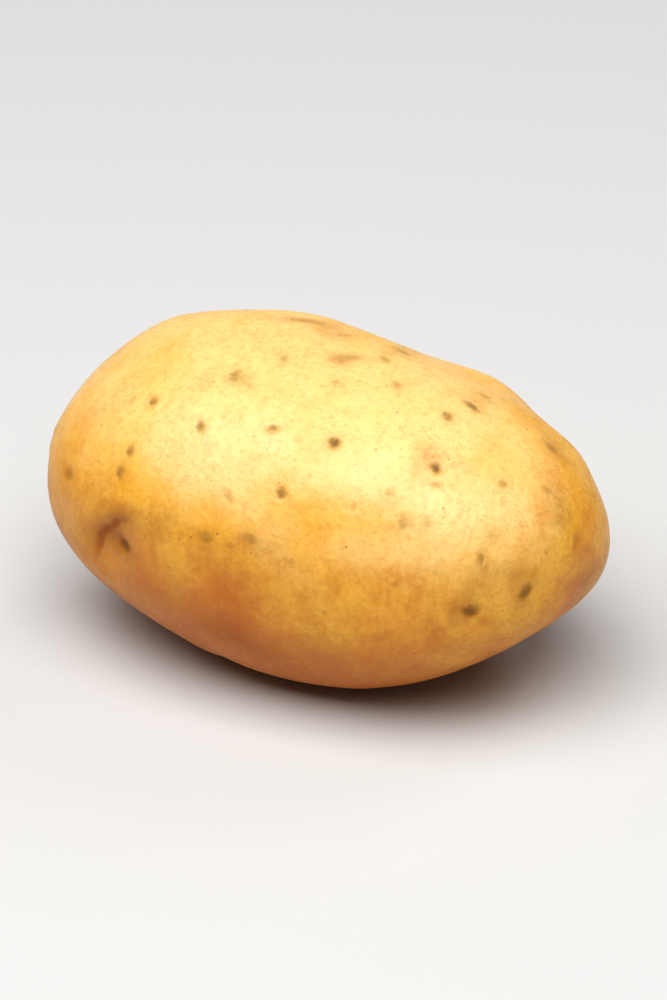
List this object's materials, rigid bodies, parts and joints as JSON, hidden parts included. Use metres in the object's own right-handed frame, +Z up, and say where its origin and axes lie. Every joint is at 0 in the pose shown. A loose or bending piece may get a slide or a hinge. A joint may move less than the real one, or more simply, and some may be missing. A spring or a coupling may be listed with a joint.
{
  "type": "potato",
  "caption": "Washed, yellow-skinned oblong table potato, whole, lying on its side on a small flat spot, with shallow eyes and a stem scar.",
  "frame": {"origin": "on the surface that the potato lies on, under the middle of its box", "axes": "+X along the tuber towards its rose end, where most eyes sit; -X towards the stem end; +Z up"},
  "size_m": [0.1, 0.065, 0.056],
  "materials": {
    "skin": "thin, smooth, pale yellow skin with a soft satin sheen, small brown lenticels and a few faint russet smears"
  },
  "bodies": {
    "root": {"potato": "skin"}
  },
  "joints": []
}
